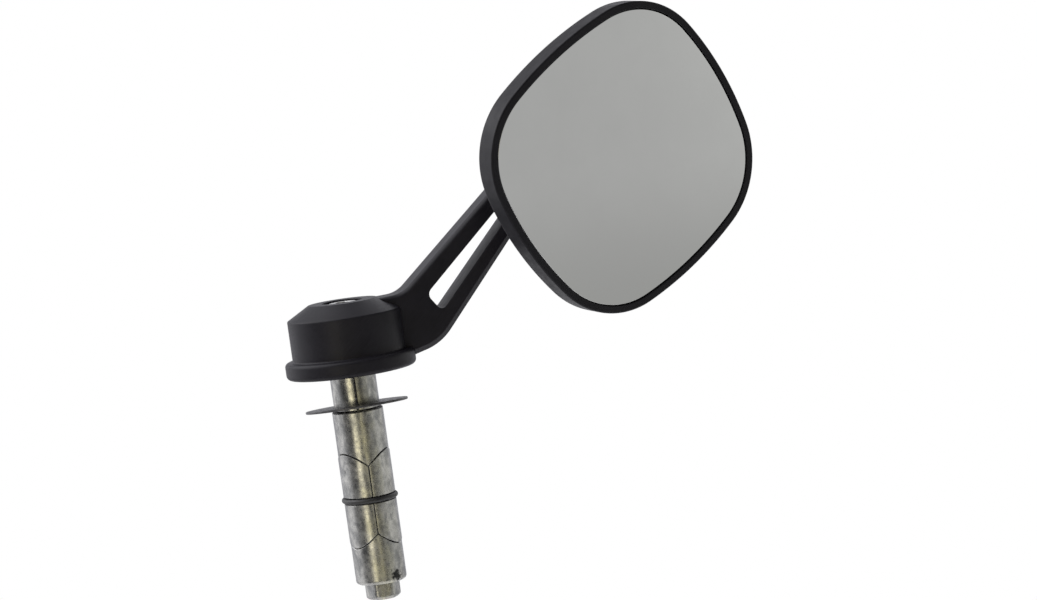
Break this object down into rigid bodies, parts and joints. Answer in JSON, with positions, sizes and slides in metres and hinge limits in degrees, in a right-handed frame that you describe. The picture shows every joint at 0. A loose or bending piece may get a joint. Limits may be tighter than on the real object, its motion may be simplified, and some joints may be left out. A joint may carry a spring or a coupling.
{
  "type": "bar-end mirror",
  "caption": "Bar-end handlebar mirror: square rounded head on a ball joint, slotted flat arm, round clamp cap and an expanding plug that grips inside the bar.",
  "frame": {"origin": "centre of the flange's flat underside, which seats on the end of the handlebar, on the plug's axis", "axes": "+Z along the plug's axis, out of the bar and towards the cap; +X the way the arm reaches; -Y the side the glass faces"},
  "size_m": [0.1694, 0.0705, 0.1909],
  "materials": {
    "anodised": "black anodised, fine satin",
    "cast_metal": "dull zinc-plated casting, handled and slightly yellowed",
    "steel": "turned, bright",
    "rubber": "matt",
    "dark_washer": "thin dark sheet, satin",
    "nylon": "natural moulded",
    "black_plastic": "moulded",
    "foam": "foam tape",
    "mirror_glass": "polished glass, silvered behind"
  },
  "bodies": {
    "plug": {"neck_sleeve": "cast_metal", "upper_wedge": "cast_metal"},
    "arm": {"arm_body": "anodised", "ball_stud": "steel", "stud_washer": "steel", "stud_nut": "steel"},
    "pan_liner": {"ball_liner_rear": "nylon"},
    "tilt_liner": {"ball_liner_front": "nylon"},
    "head": {"head_housing": "anodised", "mirror_glass": "mirror_glass", "glass_pad": "foam", "glass_carrier": "black_plastic", "socket_base": "anodised", "socket_ring": "anodised", "socket_screw_1": "steel", "socket_screw_2": "steel", "socket_screw_3": "steel"},
    "bolt": {"draw_bolt": "steel", "bolt_washer": "steel"},
    "puller": {"lower_wedge": "cast_metal", "draw_nut": "cast_metal"},
    "segment_1": {"plug_segment_1": "cast_metal"},
    "segment_2": {"plug_segment_2": "cast_metal"},
    "segment_3": {"plug_segment_3": "cast_metal"},
    "ring": {"o_ring": "rubber"},
    "washer": {"end_washer": "dark_washer"}
  },
  "joints": [
    {"name": "arm_swivel", "type": "hinge", "parent": "plug", "child": "arm", "pos_m": [0, 0, 0], "axis": [0, 0, 1], "continuous": true},
    {"name": "head_pan", "type": "hinge", "parent": "arm", "child": "pan_liner", "pos_m": [0.0933, -0.019, 0.0608], "axis": [0, 0, 1], "range_deg": [-24, 8]},
    {"name": "head_tilt", "type": "hinge", "parent": "pan_liner", "child": "tilt_liner", "pos_m": [0.0933, -0.019, 0.0608], "axis": [-0.9616, -0.2745, 0], "range_deg": [-12, 24]},
    {"name": "head_spin", "type": "hinge", "parent": "tilt_liner", "child": "head", "pos_m": [0.0933, -0.019, 0.0608], "axis": [0.2731, -0.9568, -0.0996], "continuous": true},
    {"name": "draw_bolt_turn", "type": "hinge", "parent": "plug", "child": "bolt", "pos_m": [0, 0, 0], "axis": [0, 0, -1], "range_deg": [0, 724]},
    {"name": "lower_wedge_lift", "type": "slide", "parent": "plug", "child": "puller", "axis": [0, 0, 1], "range_m": [0, 0.002]},
    {"name": "segment_1_spread", "type": "slide", "parent": "plug", "child": "segment_1", "axis": [0.5557, -0.3791, 0.7399], "range_m": [0, 0.00136]},
    {"name": "segment_2_spread", "type": "slide", "parent": "plug", "child": "segment_2", "axis": [0.0504, 0.6708, 0.7399], "range_m": [0, 0.00136]},
    {"name": "segment_3_spread", "type": "slide", "parent": "plug", "child": "segment_3", "axis": [-0.6061, -0.2917, 0.7399], "range_m": [0, 0.00136]},
    {"name": "o_ring_lift", "type": "slide", "parent": "plug", "child": "ring", "axis": [0, 0, 1], "range_m": [0, 0.00101]},
    {"name": "end_washer_slide", "type": "slide", "parent": "plug", "child": "washer", "axis": [0, 0, 1], "range_m": [0, 0.0098]}
  ],
  "couplings": [
    {"joint": "draw_bolt_turn", "follows": "lower_wedge_lift", "rad_per_m": 6283.2},
    {"joint": "segment_1_spread", "follows": "lower_wedge_lift", "ratio": 0.67573},
    {"joint": "segment_2_spread", "follows": "lower_wedge_lift", "ratio": 0.67573},
    {"joint": "segment_3_spread", "follows": "lower_wedge_lift", "ratio": 0.67573},
    {"joint": "o_ring_lift", "follows": "lower_wedge_lift", "ratio": 0.5}
  ]
}
